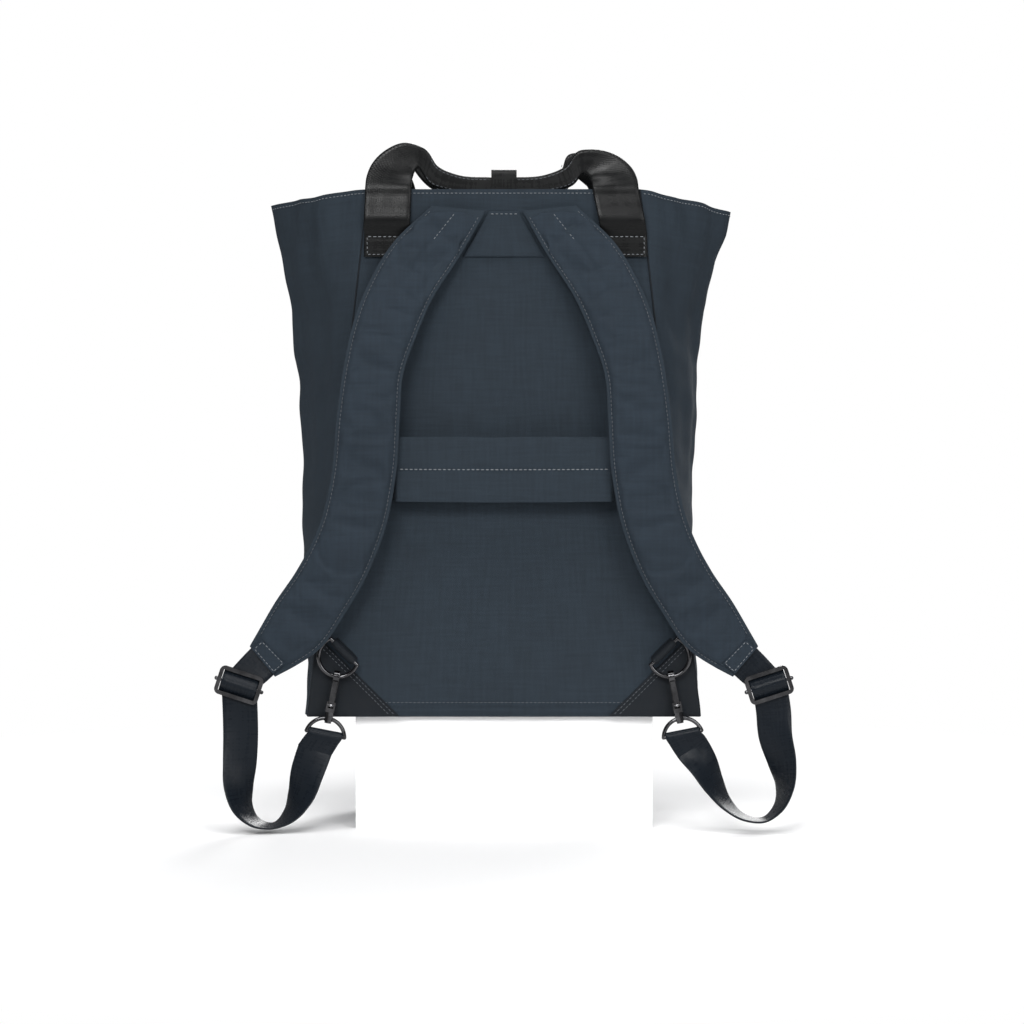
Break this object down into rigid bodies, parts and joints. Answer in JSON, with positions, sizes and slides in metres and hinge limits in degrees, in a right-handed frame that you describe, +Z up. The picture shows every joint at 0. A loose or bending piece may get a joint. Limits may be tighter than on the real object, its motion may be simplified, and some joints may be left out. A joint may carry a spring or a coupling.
{
  "type": "convertible tote bag",
  "caption": "Soft upright tote with flared top corners, folded carrying handles, padded shoulder straps on snap hooks and a rear band that slides over trolley posts.",
  "frame": {"origin": "centre of the trolley sleeve's opening, halfway up the band and midway between the band and the back panel", "axes": "+Z up along the trolley posts, +X across the bag to the right when facing its back panel, +Y from the back panel towards the front panel"},
  "size_m": [0.4362, 0.1662, 0.5071],
  "materials": {
    "shell_fabric": "fine woven nylon, slightly satin",
    "lining_fabric": "plain woven lining",
    "corner_fabric": "tight dark reinforcing cloth",
    "leather": "smooth dark leather with fine grain",
    "webbing": "smooth seat-belt style webbing",
    "foam": "closed-cell foam",
    "gunmetal": "polished gunmetal plating",
    "spring_steel": "plain steel",
    "snap_metal": "satin plating"
  },
  "bodies": {
    "root": {"back_panel": "shell_fabric", "back_lining": "lining_fabric", "back_yoke": "shell_fabric", "gusset_left": "shell_fabric", "gusset_right": "shell_fabric", "base_panel": "shell_fabric", "trolley_sleeve": "shell_fabric", "corner_patch_left": "corner_fabric", "corner_patch_right": "corner_fabric", "ring_tab_left": "webbing", "ring_tab_right": "webbing", "rear_handle_patch_left": "leather", "rear_handle_patch_right": "leather", "laptop_pocket": "lining_fabric", "snap_socket": "snap_metal", "webbing_loop_left": "webbing", "webbing_loop_right": "webbing"},
    "front": {"front_panel": "shell_fabric", "front_lining": "lining_fabric", "front_handle_patch_left": "leather", "front_handle_patch_right": "leather", "snap_stud": "snap_metal"},
    "rear_handle": {"rear_handle": "leather", "rear_handle_keeper": "leather"},
    "front_handle": {"front_handle": "leather", "front_handle_keeper": "leather"},
    "strap_left": {"strap_cover_left": "shell_fabric", "strap_foam_left": "foam", "strap_end_patch_left": "shell_fabric", "strap_tail_left": "webbing"},
    "slider_left": {"slider_frame_left": "gunmetal", "slider_bar_left": "gunmetal"},
    "ring_left": {"corner_ring_left": "gunmetal"},
    "eye_left": {"swivel_eye_left": "gunmetal"},
    "hook_left": {"snap_hook_left": "gunmetal", "gate_pin_left": "spring_steel", "gate_spring_left": "spring_steel"},
    "gate_left": {"hook_gate_left": "gunmetal"},
    "strap_right": {"strap_cover_right": "shell_fabric", "strap_foam_right": "foam", "strap_end_patch_right": "shell_fabric", "strap_tail_right": "webbing"},
    "slider_right": {"slider_frame_right": "gunmetal", "slider_bar_right": "gunmetal"},
    "ring_right": {"corner_ring_right": "gunmetal"},
    "eye_right": {"swivel_eye_right": "gunmetal"},
    "hook_right": {"snap_hook_right": "gunmetal", "gate_pin_right": "spring_steel", "gate_spring_right": "spring_steel"},
    "gate_right": {"hook_gate_right": "gunmetal"}
  },
  "joints": [
    {"name": "fold_flat", "type": "slide", "parent": "root", "child": "front", "axis": [0, -1, 0], "range_m": [0, 0.1], "deforming": ["gusset_left", "gusset_right", "base_panel"]},
    {"name": "rear_handle_swing", "type": "hinge", "parent": "root", "child": "rear_handle", "pos_m": [0, 0.00773, 0.2095], "axis": [1, 0, 0], "range_deg": [0, 110]},
    {"name": "front_handle_swing", "type": "hinge", "parent": "front", "child": "front_handle", "pos_m": [0, 0.14028, 0.2095], "axis": [-1, 0, 0], "range_deg": [0, 110]},
    {"name": "strap_swing_left", "type": "hinge", "parent": "root", "child": "strap_left", "pos_m": [-0.0337, 0.0074, 0.1965], "axis": [-1, 0, 0], "range_deg": [0, 25], "deforming": ["webbing_loop_left"]},
    {"name": "slider_adjust_left", "type": "slide", "parent": "strap_left", "child": "slider_left", "axis": [-0.7071, 0, -0.7071], "range_m": [-0.005, 0.005]},
    {"name": "ring_flip_left", "type": "hinge", "parent": "root", "child": "ring_left", "pos_m": [-0.12, 0.0018, -0.1375], "axis": [-0.7071, 0, 0.7071], "range_deg": [0, 12]},
    {"name": "eye_tilt_left", "type": "hinge", "parent": "root", "child": "eye_left", "pos_m": [-0.134, 0.0018, -0.1995], "axis": [0.9813, 0, -0.1925], "range_deg": [0, 4.8]},
    {"name": "hook_swivel_left", "type": "hinge", "parent": "eye_left", "child": "hook_left", "pos_m": [-0.134, 0.0018, -0.1995], "axis": [0.1925, 0, 0.9813], "range_deg": [-8, 8]},
    {"name": "gate_open_left", "type": "hinge", "parent": "hook_left", "child": "gate_left", "pos_m": [-0.12973, -0.0018, -0.17772], "axis": [-0.9813, 0, 0.1925], "range_deg": [0, 15], "stiffness_Nm_per_rad": 0.004, "springref_deg": -17.19},
    {"name": "strap_swing_right", "type": "hinge", "parent": "root", "child": "strap_right", "pos_m": [0.0337, 0.0074, 0.1965], "axis": [-1, 0, 0], "range_deg": [0, 25], "deforming": ["webbing_loop_right"]},
    {"name": "slider_adjust_right", "type": "slide", "parent": "strap_right", "child": "slider_right", "axis": [0.7071, 0, -0.7071], "range_m": [-0.005, 0.005]},
    {"name": "ring_flip_right", "type": "hinge", "parent": "root", "child": "ring_right", "pos_m": [0.12, 0.0018, -0.1375], "axis": [-0.7071, 0, -0.7071], "range_deg": [0, 12]},
    {"name": "eye_tilt_right", "type": "hinge", "parent": "root", "child": "eye_right", "pos_m": [0.134, 0.0018, -0.1995], "axis": [0.9813, 0, 0.1925], "range_deg": [0, 4.8]},
    {"name": "hook_swivel_right", "type": "hinge", "parent": "eye_right", "child": "hook_right", "pos_m": [0.134, 0.0018, -0.1995], "axis": [-0.1925, 0, 0.9813], "range_deg": [-8, 8]},
    {"name": "gate_open_right", "type": "hinge", "parent": "hook_right", "child": "gate_right", "pos_m": [0.12973, -0.0018, -0.17772], "axis": [-0.9813, 0, -0.1925], "range_deg": [0, 15], "stiffness_Nm_per_rad": 0.004, "springref_deg": -17.19}
  ],
  "couplings": [
    {"joint": "eye_tilt_left", "follows": "ring_flip_left", "ratio": 0.391},
    {"joint": "eye_tilt_right", "follows": "ring_flip_right", "ratio": 0.391}
  ]
}
